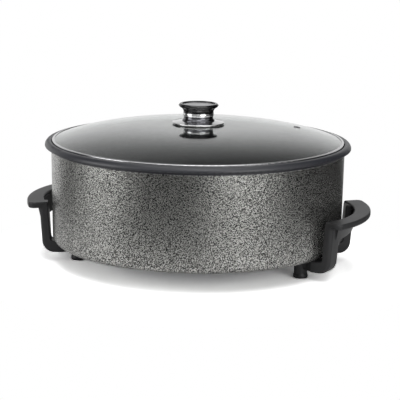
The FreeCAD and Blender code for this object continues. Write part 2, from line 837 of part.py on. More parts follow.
def vent_place(shape):
    """Move a shape from the origin to the vent, square to the glass."""
    slope = 3 * lid_rise * vent_distance ** 2 / glass_radius ** 3
    tilted = shape.rotated(ORIGIN, Vector(0, 1, 0), math.degrees(math.atan(slope)))
    moved = tilted.translated(Vector(vent_distance, 0, glass_height(vent_distance)))
    return spun(moved, vent_angle)


def make_lid_glass():
    """Domed glass disc; one cubic curve is exactly its profile."""
    def dome(drop):
        poles = [Vector(0, 0, glass_top - drop), Vector(glass_radius / 3, 0, glass_top - drop),
                 Vector(glass_radius * 2 / 3, 0, glass_top - drop),
                 Vector(glass_radius, 0, glass_edge_height - drop)]
        curve = Part.BezierCurve()
        curve.setPoles(poles)
        return curve.toShape()
    edge = Part.LineSegment(upright(glass_radius, glass_edge_height),
                            upright(glass_radius, glass_edge_height - glass)).toShape()
    axis = Part.LineSegment(upright(0, glass_top), upright(0, glass_top - glass)).toShape()
    profile = Part.Wire(Part.__sortEdges__([dome(0), edge, dome(glass), axis]))
    solid = Part.Face(profile).revolve(ORIGIN, UP, TURN)
    knob_hole = Part.makeCylinder(glass_hole_radius, 3 * glass, Vector(0, 0, glass_top - 2 * glass))
    vent_hole = vent_place(Part.makeCylinder(vent_hole_radius, 4 * glass, Vector(0, 0, -2 * glass)))
    return solid.cut(knob_hole).cut(vent_hole)


def make_lid_band():
    """Rolled steel band, crimped over the glass's edge, with a flat foot on the pan's ledge."""
    foot = rim_height - seat_depth + seat_gap
    lap = glass_radius - band_lap
    low_lap = glass_radius - 0.6 * band_lap
    outer_top = glass_height(glass_radius) + band_sheet
    inside = glass_radius + fit_gap
    return turned([
        (lid_radius, foot, 0.4),
        (lid_radius, outer_top + 0.1, 0.6),
        (lap, glass_height(lap) + fit_gap + band_sheet, 0.3),
        (lap, glass_height(lap) + fit_gap),
        (inside, glass_height(glass_radius) + fit_gap),
        (inside, glass_height(glass_radius) - glass - fit_gap),
        (low_lap, glass_height(glass_radius) - glass - fit_gap),
        (low_lap, foot),
    ])


def make_vent_eyelet():
    """Steel eyelet that lines the vent hole."""
    barrel = vent_hole_radius - fit_gap
    low = -glass - 2 * fit_gap
    lower_flange = eyelet_flange - 0.5
    return vent_place(turned([
        (eyelet_bore, eyelet_sheet + fit_gap, 0.2),
        (eyelet_flange, eyelet_sheet + fit_gap, 0.3),
        (eyelet_flange, fit_gap),
        (barrel, fit_gap),
        (barrel, low),
        (lower_flange, low),
        (lower_flange, low - eyelet_sheet, 0.2),
        (eyelet_bore, low - eyelet_sheet, 0.2),
    ]))


# ---- knob ----
def make_knob_grip():
    """Waisted knob with a wide cap, hollowed on top for the inlay and below for the insert."""
    insert_top = collar_base + insert_length
    return turned([
        (insert_radius + fit_gap, collar_base),
        (insert_radius + fit_gap, insert_top),
        (0, insert_top),
        (0, knob_top - inlay_depth),
        (inlay_radius + fit_gap, knob_top - inlay_depth),
        (inlay_radius + fit_gap, knob_top, 0.5),
        (inlay_radius + cap_rim, knob_top, 1.0),
        (cap_radius, knob_top - cap_edge, 1.0),
        (cap_radius - 1.8, knob_top - cap_edge - 2.2, 1.5),
        (neck_radius + 1.8, neck_base + neck_height + 1.6, 3.0),
        (neck_radius - 0.2, neck_base + 0.5 * neck_height, 5.0),
        (neck_radius + 0.2, neck_base, 0.4),
        (spigot_radius, neck_base),
        (spigot_radius, collar_base),
    ])


def make_knob_inlay():
    """Metal disc in the top of the knob."""
    base = knob_top - inlay_depth
    return turned([(0, base), (inlay_radius, base), (inlay_radius, base + inlay_thickness, 0.5),
                   (0, base + inlay_thickness)])


def make_knob_insert():
    """Brass insert moulded into the knob."""
    return disc(insert_radius, m6_radius + tap_gap, collar_base, insert_length)


def make_knob_ring():
    """Bright ring under the neck."""
    return turned([
        (spigot_radius + fit_gap, ring_base),
        (ring_radius - 0.6, ring_base, 0.5),
        (ring_radius, ring_base + 0.5 * ring_height, 2.0),
        (ring_radius - 0.3, neck_base, 0.5),
        (spigot_radius + fit_gap, neck_base),
    ])


def make_knob_collar():
    """Bright collar that flares to its foot."""
    return turned([
        (spigot_radius + fit_gap, collar_base),
        (collar_radius, collar_base, 0.7),
        (collar_radius, collar_base + 1.4, 1.0),
        (collar_waist, collar_base + 0.55 * collar_height, 3.0),
        (collar_waist + 0.2, ring_base, 0.5),
        (spigot_radius + fit_gap, ring_base),
    ])


def make_knob_saucer():
    """Spun saucer under the collar, with a rolled bead at its rim."""
    hole = m6_radius + screw_clearance
    seat = collar_base
    outer = saucer_radius - saucer_bead
    bead = Part.makeTorus(outer, saucer_bead, Vector(0, 0, saucer_base + saucer_bead))
    sheet = turned([
        (hole, seat - saucer_sheet), (spigot_radius + 3, seat - saucer_sheet, 2.0),
        (outer, saucer_base + 0.4), (outer, saucer_base + 0.4 + saucer_sheet),
        (collar_radius + 1, seat, 3.0), (hole, seat),
    ])
    return joined(sheet, bead)


def make_knob_gasket():
    """Silicone washer that the saucer presses on the glass."""
    return turned([
        (glass_hole_radius, glass_top),
        (gasket_radius, glass_top),
        (gasket_radius, saucer_base),
        (spigot_radius + gasket_step, saucer_base),
        (spigot_radius - gasket_step, collar_base - saucer_sheet),
        (glass_hole_radius, collar_base - saucer_sheet),
    ])


def make_knob_inner_gasket():
    """Silicone washer under the glass."""
    top = glass_height(inner_gasket_radius) - glass
    return disc(inner_gasket_radius, m6_radius + screw_clearance, top - inner_gasket_thickness,
                inner_gasket_thickness)


def knob_screw_seat():
    """Underside of the washer inside the lid."""
    top = glass_height(inner_gasket_radius) - glass
    return top - inner_gasket_thickness - knob_washer_thickness


def make_knob_washer():
    """Steel washer inside the lid."""
    return disc(knob_washer_radius, m6_radius + screw_clearance, knob_screw_seat(), knob_washer_thickness)


def make_knob_screw():
    """Screw up through the glass into the knob's insert."""
    tip = collar_base + insert_length - screw_tip_gap
    return [pan_head_screw(m6_radius, knob_screw_seat(), tip, ORIGIN)]


# ---- all pieces ----
def pieces():
    """Name and solid, or list of like solids, of every piece."""
    made = {
        "pan_body": make_pan_body(),
        "handle_right": make_handle(0.0),
        "handle_left": make_handle(180.0),
    }
    for name, spot in foot_spots():
        made[name] = make_foot(spot)
    made.update({
        "handle_screws": make_handle_screws(),
        "handle_washers": make_handle_washers(),
        "heating_element": make_heating_element(),
        "end_seals": make_end_seals(),
        "element_clips": make_element_clips(),
        "clip_screws": make_clip_screws(),
        "inlet_socket": make_inlet_socket(),
        "socket_screws": make_socket_screws(),
        "terminal_pins": make_terminal_pins(),
        "probe_sleeve": make_probe_sleeve(),
        "probe_clamp": make_probe_clamp(),
        "clamp_screws": make_clamp_screws(),
        "earth_contact": make_earth_contact(),
        "earth_screw": make_earth_screw(),
        "reflector": make_reflector(),
        "reflector_screws": make_reflector_screws(),
        "lid_glass": make_lid_glass(),
        "lid_band": make_lid_band(),
        "vent_eyelet": make_vent_eyelet(),
        "knob_grip": make_knob_grip(),
        "knob_inlay": make_knob_inlay(),
        "knob_insert": make_knob_insert(),
        "knob_ring": make_knob_ring(),
        "knob_collar": make_knob_collar(),
        "knob_saucer": make_knob_saucer(),
        "knob_gasket": make_knob_gasket(),
        "knob_inner_gasket": make_knob_inner_gasket(),
        "knob_washer": make_knob_washer(),
        "knob_screw": make_knob_screw(),
    })
    return made


def main():
    """Write one STEP file for each piece."""
    os.makedirs("parts", exist_ok=True)
    for name, made in pieces().items():
        solids = made if isinstance(made, list) else [made]
        shape = solids[0] if len(solids) == 1 else Part.makeCompound(solids)
        assert shape.isValid() and len(shape.Solids) == len(solids), name
        shape.exportStep(f"parts/{name}.step")
        print(f"{name}: {len(solids)} solid(s), {shape.Volume / 1000:.2f} cm3")


main()
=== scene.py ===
"""Dress and light a wide electric pan: hammered body, loose domed glass lid, moulded side handles.

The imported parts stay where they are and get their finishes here. Both handles and the knob's grip
and inlay are built in this file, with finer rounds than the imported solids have, and are drawn in
millimetres. All else is in metres; +Z is up, the table is z = 0, +X runs along the right handle.
"""

import logging
import math
from dataclasses import dataclass, field
from enum import Enum
from typing import Protocol

import bmesh
import bpy
from mathutils import Matrix, Vector


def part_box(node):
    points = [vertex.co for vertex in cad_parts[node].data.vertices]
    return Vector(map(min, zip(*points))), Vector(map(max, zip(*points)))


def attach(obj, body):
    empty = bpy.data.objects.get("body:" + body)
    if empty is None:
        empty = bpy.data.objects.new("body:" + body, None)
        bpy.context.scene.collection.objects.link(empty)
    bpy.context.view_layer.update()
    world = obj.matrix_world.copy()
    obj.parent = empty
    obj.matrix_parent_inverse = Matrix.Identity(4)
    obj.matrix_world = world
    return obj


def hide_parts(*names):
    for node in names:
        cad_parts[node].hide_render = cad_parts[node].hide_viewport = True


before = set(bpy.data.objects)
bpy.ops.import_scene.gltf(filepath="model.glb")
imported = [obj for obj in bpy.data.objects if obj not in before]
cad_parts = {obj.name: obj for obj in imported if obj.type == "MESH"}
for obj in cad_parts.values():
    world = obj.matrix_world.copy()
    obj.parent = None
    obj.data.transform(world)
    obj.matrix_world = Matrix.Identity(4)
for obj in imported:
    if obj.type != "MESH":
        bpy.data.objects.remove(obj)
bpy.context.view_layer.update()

Material = bpy.types.Material
Piece = bpy.types.Object
Socket = bpy.types.NodeSocket
Tree = bpy.types.NodeTree

LOG = logging.getLogger("pan")
MM = 0.001
ORIGIN = Vector((0.0, 0.0, 0.0))
# Points of a mesh closer than this become one.
MERGE_MM = 0.0005
# Straight pieces in each round of a turned profile.
ROUND_STEPS = 6
# Edges that turn by more than this stay sharp.
SHARP_DEGREES = 30.0
# Keeps the inset at a sharp corner within twice its distance.
MITRE_LIMIT = 0.5
# Times a place, leaves its level part.
FLATTEN = (1.0, 1.0, 0.0)


# ---- shared tools ----
def linear(hex_colour: str) -> tuple[float, float, float, float]:
    """Turn an sRGB hex colour into linear light.

    Args:
        hex_colour: Six hex digits, such as "8a8a8c".

    Returns:
        Red, green, blue and an alpha of 1.
    """
    channels = [int(hex_colour[i:i + 2], 16) / 255 for i in (0, 2, 4)]
    light = [c / 12.92 if c <= 0.04045 else ((c + 0.055) / 1.055) ** 2.4 for c in channels]
    return (light[0], light[1], light[2], 1.0)


def per_metre(feature_mm: float) -> float:
    """Scale of a texture whose features are a number of millimetres across."""
    return 1 / (feature_mm * MM)


def add_node(tree: Tree, kind: str, values: dict | None = None, links: dict | None = None,
             **settings: object) -> bpy.types.NodeOutputs:
    """Add a node with its settings, its unlinked inputs and its links.

    Args:
        tree: Node tree that gets the node.
        kind: Blender's name of the shader node's type, without ShaderNode in front.
        values: Input name or number to value.
        links: Input name or number to the output that feeds it.
        **settings: Properties of the node itself.

    Returns:
        The new node's outputs.
    """
    node = tree.nodes.new("ShaderNode" + kind)
    for key, value in settings.items():
        setattr(node, key, value)
    for socket, value in (values or {}).items():
        node.inputs[socket].default_value = value
    for socket, source in (links or {}).items():
        tree.links.new(source, node.inputs[socket])
    return node.outputs


def new_material(name: str) -> tuple[Material, Tree]:
    """Make an empty node material.

    Args:
        name: Name of the finish.

    Returns:
        The material and its node tree.
    """
    material = bpy.data.materials.new(name)
    material.use_nodes = True
    material.node_tree.nodes.clear()
    return material, material.node_tree


# ---- shaped pieces, drawn in millimetres ----
class Operation(Enum):
    """What is done with solids that meet another one."""

    JOIN = "UNION"
    CUT = "DIFFERENCE"


def unit(degrees: float) -> Vector:
    """Level direction at an angle from +X."""
    return Vector((math.cos(math.radians(degrees)), math.sin(math.radians(degrees)), 0.0))


def bend(corner: Vector, after: Vector, before: Vector, radius: float, steps: int) -> list[Vector]:
    """Round a corner between two straight runs.

    Args:
        corner: Where the runs would meet.
        after: A point on the run that leaves the corner.
        before: A point on the run that comes to it.
        radius: Radius of the round.
        steps: Pieces that the arc is made of.

    Returns:
        Points of the arc, from the first run to the second.
    """
    back, ahead = (before - corner).normalized(), (after - corner).normalized()
    half = back.angle(ahead) / 2
    centre = corner + (back + ahead).normalized() * (radius / math.sin(half))
    start = corner + back * (radius / math.tan(half)) - centre
    end = corner + ahead * (radius / math.tan(half)) - centre
    return [centre + radius * start.slerp(end, i / steps) for i in range(steps + 1)]


def arc_through(start: Vector, middle: Vector, end: Vector, steps: int) -> list[Vector]:
    """Draw a level arc that lies mirrored about the X axis.

    Args:
        start: One end.
        middle: Where the arc crosses the axis.
        end: The other end.
        steps: Pieces that the arc is made of.

    Returns:
        Points of the arc, with both ends.
    """
    rise, half = middle.x - start.x, abs(start.y)
    radius = (rise * rise + half * half) / (2 * rise)
    centre = Vector((middle.x - radius, 0.0, 0.0))
    first, last = (math.atan2(p.y, p.x - centre.x) for p in (start, end))
    turns = [math.degrees(first + (last - first) * i / steps) for i in range(steps + 1)]
    return [centre + radius * unit(turn) for turn in turns]


def inset(outline: list[Vector], distance: float) -> list[Vector]:
    """Move an outline inwards.

    Args:
        outline: Its points, anticlockwise.
        distance: How far each side moves.

    Returns:
        As many points.
    """
    moved = []
    for i, point in enumerate(outline):
        back = (point - outline[i - 1]).normalized()
        ahead = (outline[(i + 1) % len(outline)] - point).normalized()
        inward = Vector((-back.y - ahead.y, back.x + ahead.x, 0.0)).normalized()
        share = max(inward.dot(Vector((-back.y, back.x, 0.0))), MITRE_LIMIT)
        moved.append(point + inward * (distance / share))
    return moved


def loft(name: str, rings: list[list[Vector]]) -> Piece:
    """Make a closed solid through rings that have the same number of points.

    Args:
        name: Name of the object.
        rings: The rings in order; the first and the last one are closed by a face.

    Returns:
        The solid.
    """
    shape = bmesh.new()
    rows = [[shape.verts.new(point) for point in ring] for ring in rings]
    for row, above in zip(rows, rows[1:]):
        for i, vertex in enumerate(row):
            j = (i + 1) % len(row)
            shape.faces.new((vertex, row[j], above[j], above[i]))
    shape.faces.new(rows[0][::-1])
    shape.faces.new(rows[-1])
    bmesh.ops.remove_doubles(shape, verts=shape.verts, dist=MERGE_MM)
    bmesh.ops.recalc_face_normals(shape, faces=shape.faces)
    mesh = bpy.data.meshes.new(name)
    shape.to_mesh(mesh)
    shape.free()
    solid = bpy.data.objects.new(name, mesh)
    bpy.context.scene.collection.objects.link(solid)
    return solid


def lathe(name: str, profile: list[tuple[float, float]], centre: Vector, steps: int) -> Piece:
    """Make a turned solid.

    Args:
        name: Name of the object.
        profile: Radius and height of each ring, from one end to the other.
        centre: Place of the axis.
        steps: Sides of each ring.

    Returns:
        The solid.
    """
    return loft(name, [[centre + radius * unit(360 * i / steps) + Vector((0.0, 0.0, height))
                        for i in range(steps)] for radius, height in profile])


def rounded(points: list[tuple[float, float, float]]) -> list[tuple[float, float]]:
    """Profile of a turned piece.

    Args:
        points: Radius and height of each corner, and the radius that rounds it.

    Returns:
        Radius and height of every ring.
    """
    spots = [Vector((radius, 0.0, height)) for radius, height, _ in points]
    profile = []
    for i, (spot, (_, _, round_radius)) in enumerate(zip(spots, points)):
        if round_radius:
            arc = bend(spot, spots[i + 1], spots[i - 1], round_radius, ROUND_STEPS)
            profile += [(p.x, p.z) for p in arc]
        else:
            profile.append((spot.x, spot.z))
    return profile


def combine(base: Piece, tools: list[Piece], operation: Operation) -> None:
    """Join solids to a base, or cut them out of it.

    Args:
        base: Solid that is changed.
        tools: Solids that are used up.
        operation: Whether they are joined or cut.
    """
    for tool in tools:
        modifier = base.modifiers.new("tool", "BOOLEAN")
        modifier.operation = operation.value
        modifier.solver = "EXACT"
        modifier.object = tool
    settle(base)
    for tool in tools:
        bpy.data.objects.remove(tool)


def settle(piece: Piece) -> None:
    """Turn what a piece's modifiers make into its mesh.

    Args:
        piece: The piece, which loses its modifiers.
    """
    bpy.context.view_layer.update()
    graph = bpy.context.evaluated_depsgraph_get()
    piece.data = bpy.data.meshes.new_from_object(piece.evaluated_get(graph))
    piece.modifiers.clear()


def finish_piece(piece: Piece, material: Material, body: str, turn: float = 0.0) -> None:
    """Bring a solid to metres, shade it, turn it into place and let it ride on a body.

    Args:
        piece: Solid in millimetres.
        material: Its finish.
        body: Body that carries it.
        turn: Degrees about the pan's axis.
    """
    piece.data.transform(Matrix.Rotation(math.radians(turn), 4, "Z") @ Matrix.Scale(MM, 4))
    for face in piece.data.polygons:
        face.use_smooth = True
    piece.data.set_sharp_from_angle(angle=math.radians(SHARP_DEGREES))
    even = piece.modifiers.new("even", "WEIGHTED_NORMAL")
    even.keep_sharp = True
    settle(piece)
    piece.data.materials.clear()
    piece.data.materials.append(material)
    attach(piece, body)
    LOG.info("built piece %s", piece.name)


# ---- finishes ----
class Finish(Protocol):
    """Any finish that can be put on a part."""

    def material(self) -> Material:
        """Build the finish."""


@dataclass(frozen=True)
class HammeredEnamel:
    """Stoved hammer enamel on cast aluminium, with a smooth lip and a non-stick coat inside.

    As the enamel dries, its aluminium flake is swept to the edges of small cells, so the wall shows
    a net of bright ridges round dark hollows. The lip is plain satin enamel, and the sprayed coat
    inside is grey with pale flecks. Each pair of roughness, metallic and relief is for the wall and
    for the smooth parts.
    """

    lip_low: float
    inner_radius: float
    inner_floor: float
    name: str = "hammered_enamel"
    ridge: str = "d2d2ce"
    valley: str = "111112"
    lip: str = "2b2c31"
    coat: str = "303031"
    fleck: str = "57575a"
    ridge_mm: float = 1.3
    ridge_height_mm: float = 0.05
    ridge_span: tuple[float, float] = (0.40, 0.64)
    wander: float = 0.6
    fleck_mm: float = 0.9
    fleck_span: tuple[float, float] = (0.56, 0.72)
    lip_edge_mm: float = 1.5
    turned_in: float = -0.01
    turned_up: float = 0.3
    roughness: tuple[float, float] = (0.27, 0.36)
    metallic: tuple[float, float] = (0.92, 0.0)
    relief: tuple[float, float] = (1.0, 0.04)

    def material(self) -> Material:
        """Build the finish's material."""
        material, tree = new_material(self.name)
        place = add_node(tree, "TexCoord")["Object"]
        height = add_node(tree, "SeparateXYZ", links={0: place})["Z"]
        ridge = self.add_ridges(tree, place)
        coated = self.add_inside(tree, place, height)
        lip = add_node(tree, "MapRange",
                       {"From Min": self.lip_low, "From Max": self.lip_low + self.lip_edge_mm * MM},
                       {"Value": height})["Result"]
        wall = add_node(tree, "Mix", {"A": linear(self.valley), "B": linear(self.ridge)},
                        {"Factor": ridge}, data_type="RGBA")
        outside = add_node(tree, "Mix", {"B": linear(self.lip)},
                           {"Factor": lip, "A": wall["Result"]}, data_type="RGBA")
        colour = add_node(tree, "Mix",
                          links={"Factor": coated, "A": outside["Result"],
                                 "B": self.add_coat(tree, place)}, data_type="RGBA")
        smooth = add_node(tree, "Math", links={0: lip, 1: coated}, operation="MAXIMUM")
        rough, metal, depth = (
            add_node(tree, "MapRange", {"To Min": on_wall, "To Max": when_smooth},
                     {"Value": smooth["Value"]})["Result"]
            for on_wall, when_smooth in (self.roughness, self.metallic, self.relief))
        bump = add_node(tree, "Bump", {"Distance": self.ridge_height_mm * MM},
                        {"Height": ridge, "Strength": depth})
        shader = add_node(tree, "BsdfPrincipled",
                          links={"Base Color": colour["Result"], "Roughness": rough,
                                 "Metallic": metal, "Normal": bump["Normal"]})
        add_node(tree, "OutputMaterial", links={"Surface": shader["BSDF"]})
        return material

    def add_ridges(self, tree: Tree, place: Socket) -> Socket:
        """Add the net of ridges: the edges of cells whose places are bent by a noise.

        Args:
            tree: Node tree of the material.
            place: Object coordinates.

        Returns:
            0 in a hollow and 1 on a ridge.
        """
        drift = add_node(tree, "TexNoise", {"Scale": per_metre(self.ridge_mm), "Detail": 0.0},
                         {"Vector": place})
        bent = add_node(tree, "VectorMath", {"Scale": self.wander * self.ridge_mm * MM},
                        {0: drift["Color"]}, operation="SCALE")
        moved = add_node(tree, "VectorMath", links={0: place, 1: bent["Vector"]})
        cells = add_node(tree, "TexVoronoi", {"Scale": per_metre(self.ridge_mm)},
                         {"Vector": moved["Vector"]}, feature="F1")
        low, high = self.ridge_span
        return add_node(tree, "MapRange", {"From Min": low, "From Max": high},
                        {"Value": cells["Distance"]}, interpolation_type="SMOOTHSTEP")["Result"]

    def add_coat(self, tree: Tree, place: Socket) -> Socket:
        """Add the colour of the coat inside.

        Args:
            tree: Node tree of the material.
            place: Object coordinates.

        Returns:
            Grey with a few pale flecks.
        """
        flecks = add_node(tree, "TexNoise",
                          {"Scale": per_metre(self.fleck_mm), "Detail": 2.0, "Roughness": 0.6},
                          {"Vector": place})
        low, high = self.fleck_span
        few = add_node(tree, "MapRange", {"From Min": low, "From Max": high},
                       {"Value": flecks["Fac"]})
        return add_node(tree, "Mix", {"A": linear(self.coat), "B": linear(self.fleck)},
                        {"Factor": few["Result"]}, data_type="RGBA")["Result"]

    def add_inside(self, tree: Tree, place: Socket, height: Socket) -> Socket:
        """Mark the coated inside, which faces the axis or up, within the rim and above the floor.

        Args:
            tree: Node tree of the material.
            place: Object coordinates.
            height: Their Z.

        Returns:
            1 on the coat and 0 elsewhere.
        """
        normal = add_node(tree, "NewGeometry")["Normal"]
        rise = add_node(tree, "SeparateXYZ", links={0: normal})["Z"]
        flat = add_node(tree, "VectorMath", {1: FLATTEN}, {0: place},
                        operation="MULTIPLY")["Vector"]
        radius = add_node(tree, "VectorMath", links={0: flat}, operation="LENGTH")
        outward = add_node(tree, "VectorMath", links={0: flat, 1: normal}, operation="DOT_PRODUCT")
        inward, upward, near, above = (
            add_node(tree, "Math", {1: limit}, {0: value}, operation=test)["Value"]
            for value, test, limit in (
                (outward["Value"], "LESS_THAN", self.turned_in),
                (rise, "GREATER_THAN", self.turned_up),
                (radius["Value"], "LESS_THAN", self.inner_radius),
                (height, "GREATER_THAN", self.inner_floor)))
        faces = add_node(tree, "Math", links={0: inward, 1: upward}, operation="MAXIMUM")
        within = add_node(tree, "Math", links={0: near, 1: above}, operation="MULTIPLY")
        return add_node(tree, "Math", links={0: faces["Value"], 1: within["Value"]},
                        operation="MULTIPLY")["Value"]


class Lay(Enum):
    """Direction of the fine marks on a surface."""

    ROUND = "round"
    ALONG_X = "along_x"
    NONE = "none"


@dataclass(frozen=True)
class Opaque:
    """Opaque material whose tone and roughness drift a little, with the fine marks of its making.

    The marks of real moulds and tools are about 0.1 mm wide. They are drawn coarser, to show. Grit
    is how much the finer steps of a noise weigh.
    """

    name: str
    colour: str
    tone: str
    roughness: float
    lay: Lay = Lay.NONE
    shine: float = 0.5
    metallic: float = 0.0
    spread: float = 0.04
    tone_mm: float = 30.0
    tone_detail: float = 3.0
    tone_grit: float = 0.5
    mark_mm: float = 0.7
    mark_height_mm: float = 0.02
    mark_strength: float = 0.6
    mark_grit: float = 0.6
    stretch: float = 0.03

    def material(self) -> Material:
        """Build the finish's material."""
        material, tree = new_material(self.name)
        place = add_node(tree, "TexCoord")["Object"]
        drift = add_node(tree, "TexNoise",
                         {"Scale": per_metre(self.tone_mm), "Detail": self.tone_detail,
                          "Roughness": self.tone_grit}, {"Vector": place})["Fac"]
        tint = add_node(tree, "Mix", {"A": linear(self.colour), "B": linear(self.tone)},
                        {"Factor": drift}, data_type="RGBA")
        rough = add_node(tree, "MapRange",
                         {"To Min": self.roughness - self.spread,
                          "To Max": self.roughness + self.spread}, {"Value": drift})
        marks = add_node(tree, "TexNoise",
                         {"Scale": per_metre(self.mark_mm), "Detail": 2.0,
                          "Roughness": self.mark_grit}, {"Vector": self.add_across(tree, place)})
        bump = add_node(tree, "Bump",
                        {"Distance": self.mark_height_mm * MM, "Strength": self.mark_strength},
                        {"Height": marks["Fac"]})
        shader = add_node(tree, "BsdfPrincipled",
                          {"Metallic": self.metallic, "Specular IOR Level": self.shine},
                          {"Base Color": tint["Result"], "Roughness": rough["Result"],
                           "Normal": bump["Normal"]})
        add_node(tree, "OutputMaterial", links={"Surface": shader["BSDF"]})
        return material

    def add_across(self, tree: Tree, place: Socket) -> Socket:
        """Stretch the coordinates along the marks.

        Args:
            tree: Node tree of the material.
            place: Object coordinates.

        Returns:
            Coordinates that change across the marks.
        """
        if self.lay is Lay.ROUND:
            flat = add_node(tree, "VectorMath", {1: FLATTEN}, {0: place}, operation="MULTIPLY")
            radius = add_node(tree, "VectorMath", links={0: flat["Vector"]}, operation="LENGTH")
            return add_node(tree, "CombineXYZ", links={"X": radius["Value"]})["Vector"]
        if self.lay is Lay.ALONG_X:
            return add_node(tree, "VectorMath", {1: (self.stretch, 1.0, 1.0)}, {0: place},
                            operation="MULTIPLY")["Vector"]
        return place


@dataclass(frozen=True)
class Moulded(Opaque):
    """Moulded plastic, rubber or ceramic: faint flow clouds and the mould's grain."""


@dataclass(frozen=True)
class Metal(Opaque):
    """Bare or plated metal: faint stains and the lines of the tool."""

    metallic: float = 1.0
    spread: float = 0.05
    tone_mm: float = 14.0
    tone_detail: float = 4.0
    tone_grit: float = 0.6
    mark_mm: float = 0.8
    mark_height_mm: float = 0.004
    mark_strength: float = 0.5
    mark_grit: float = 0.7


@dataclass(frozen=True)
class TemperedGlass:
    """Clear soda-lime glass, bent over a former while hot: a clear mirror, faintly wavy."""

    name: str = "tempered_glass"
    tint: str = "f2f6f5"
    ior: float = 1.5
    wave_mm: float = 60.0
    wave_height_mm: float = 0.015
    wave_strength: float = 0.3

    def material(self) -> Material:
        """Build the finish's material."""
        material, tree = new_material(self.name)
        place = add_node(tree, "TexCoord")["Object"]
        waves = add_node(tree, "TexNoise", {"Scale": per_metre(self.wave_mm), "Detail": 1.0},
                         {"Vector": place})
        bump = add_node(tree, "Bump",
                        {"Distance": self.wave_height_mm * MM, "Strength": self.wave_strength},
                        {"Height": waves["Fac"]})
        shader = add_node(tree, "BsdfPrincipled",
                          {"Base Color": linear(self.tint), "Roughness": 0.0, "IOR": self.ior,
                           "Transmission Weight": 1.0}, {"Normal": bump["Normal"]})
        add_node(tree, "OutputMaterial", links={"Surface": shader["BSDF"]})
        return material


# Phenolic from a fine-blasted mould: dark grey, with soft wide highlights.
PHENOLIC = Moulded("satin_phenolic", "2b2b2c", "333334", 0.40, shine=0.28)
# The same from a polished mould: near black, with sharp highlights.
GLOSSY_PHENOLIC = Moulded("glossy_phenolic", "08080a", "0c0c0d", 0.14, mark_height_mm=0.002)
# Pressed black rubber: dull, with a broad sheen.
FOOT_RUBBER = Moulded("foot_rubber", "161617", "1d1d1e", 0.42)
# Pressed silicone: pale grey and waxy.
SILICONE = Moulded("silicone", "c9c9c6", "b9b9b5", 0.45)
# Pressed and fired steatite: cream, matt and a little gritty.
CERAMIC = Moulded("fired_ceramic", "d8d2c2", "c4bca8", 0.6, mark_height_mm=0.05)
# Chrome plate on turned and buffed steel: bright, with faint rings that blur the room.
POLISHED_CHROME = Metal("polished_chrome", "e6e6e6", "dadadb", 0.20, Lay.ROUND,
                        mark_height_mm=0.0005)
# The ring's chrome on a spun cup, made darker for the collar: painted shade for the dark room that
# the collar mirrors.
PAINTED_DARK_CHROME = Metal("chrome_with_painted_shade", "6c6c70", "5f5f63", 0.14, Lay.ROUND, mark_height_mm=0.0005)
# Stainless strip, rolled and buffed: a thin bright line with fine lines along it.
BAND_STEEL = Metal("band_steel", "d4d4d5", "c4c4c6", 0.16, Lay.ROUND)
# Pressed steel eyelet: a darker grey than the band's steel, with a dull glint.
DARK_STEEL = Metal("dark_steel", "6f6f71", "5b5b5d", 0.3, Lay.ROUND)
# Aluminium disc, spun: rings that fan each highlight out.
SPUN_INLAY = Metal("spun_inlay", "c4c4c6", "b0b0b2", 0.30, Lay.ROUND, mark_mm=0.9,
                   mark_height_mm=0.01)
# Steel, cold headed or stamped and tumbled: pale grey, with a soft shine.
SCREW_STEEL = Metal("screw_steel", "b9b9b6", "9a9a98", 0.28)
# Steel sheath, drawn and browned by heat: dull and warm, in patches.
SHEATH = Metal("element_sheath", "6b655e", "4a4642", 0.42, tone_mm=9.0)
# Stamped steel with zinc plate: a cool, even grey.
ZINC_PLATE = Metal("zinc_plate", "b4b6b4", "9c9f9e", 0.3)
# Turned pins with nickel plate: warm white and shiny.
NICKEL = Metal("nickel_plate", "cfc9bc", "bdb7aa", 0.18)
# Drawn aluminium tube: fine lines that run along it.
DRAWN_ALUMINIUM = Metal("drawn_aluminium", "b8b9bb", "a3a4a6", 0.3, Lay.ALONG_X)
# Brass, turned or rolled: yellow, with a soft shine.
BRASS = Metal("brass", "c9a55c", "b08c46", 0.3)
# Steel sheet, hot dipped in aluminium: grey, with wide soft patches.
ALUMINISED = Metal("aluminised_steel", "a9a9ab", "8d8d90", 0.38, tone_mm=25.0)


def dress(finish: Finish, *nodes: str) -> None:
    """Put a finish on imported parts.

    Args:
        finish: The finish.
        *nodes: Names of the parts.
    """
    material = finish.material()
    for node in nodes:
        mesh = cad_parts[node].data
        mesh.materials.clear()
        mesh.materials.append(material)
        LOG.info("%s: %s", node, material.name)


# ---- sub-assemblies ----
@dataclass
class Pan:
    """Cast pan, with its lip and its coated inside; sizes in millimetres."""

    lip_drop: float = 12.5
    coat_margin: float = 11.0
    floor_rise: float = 34.0

    def build(self) -> None:
        """Dress the pan."""
        _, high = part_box("pan_body")
        dress(HammeredEnamel(lip_low=high.z - self.lip_drop * MM,
                             inner_radius=high.x - self.coat_margin * MM,
                             inner_floor=self.floor_rise * MM), "pan_body")


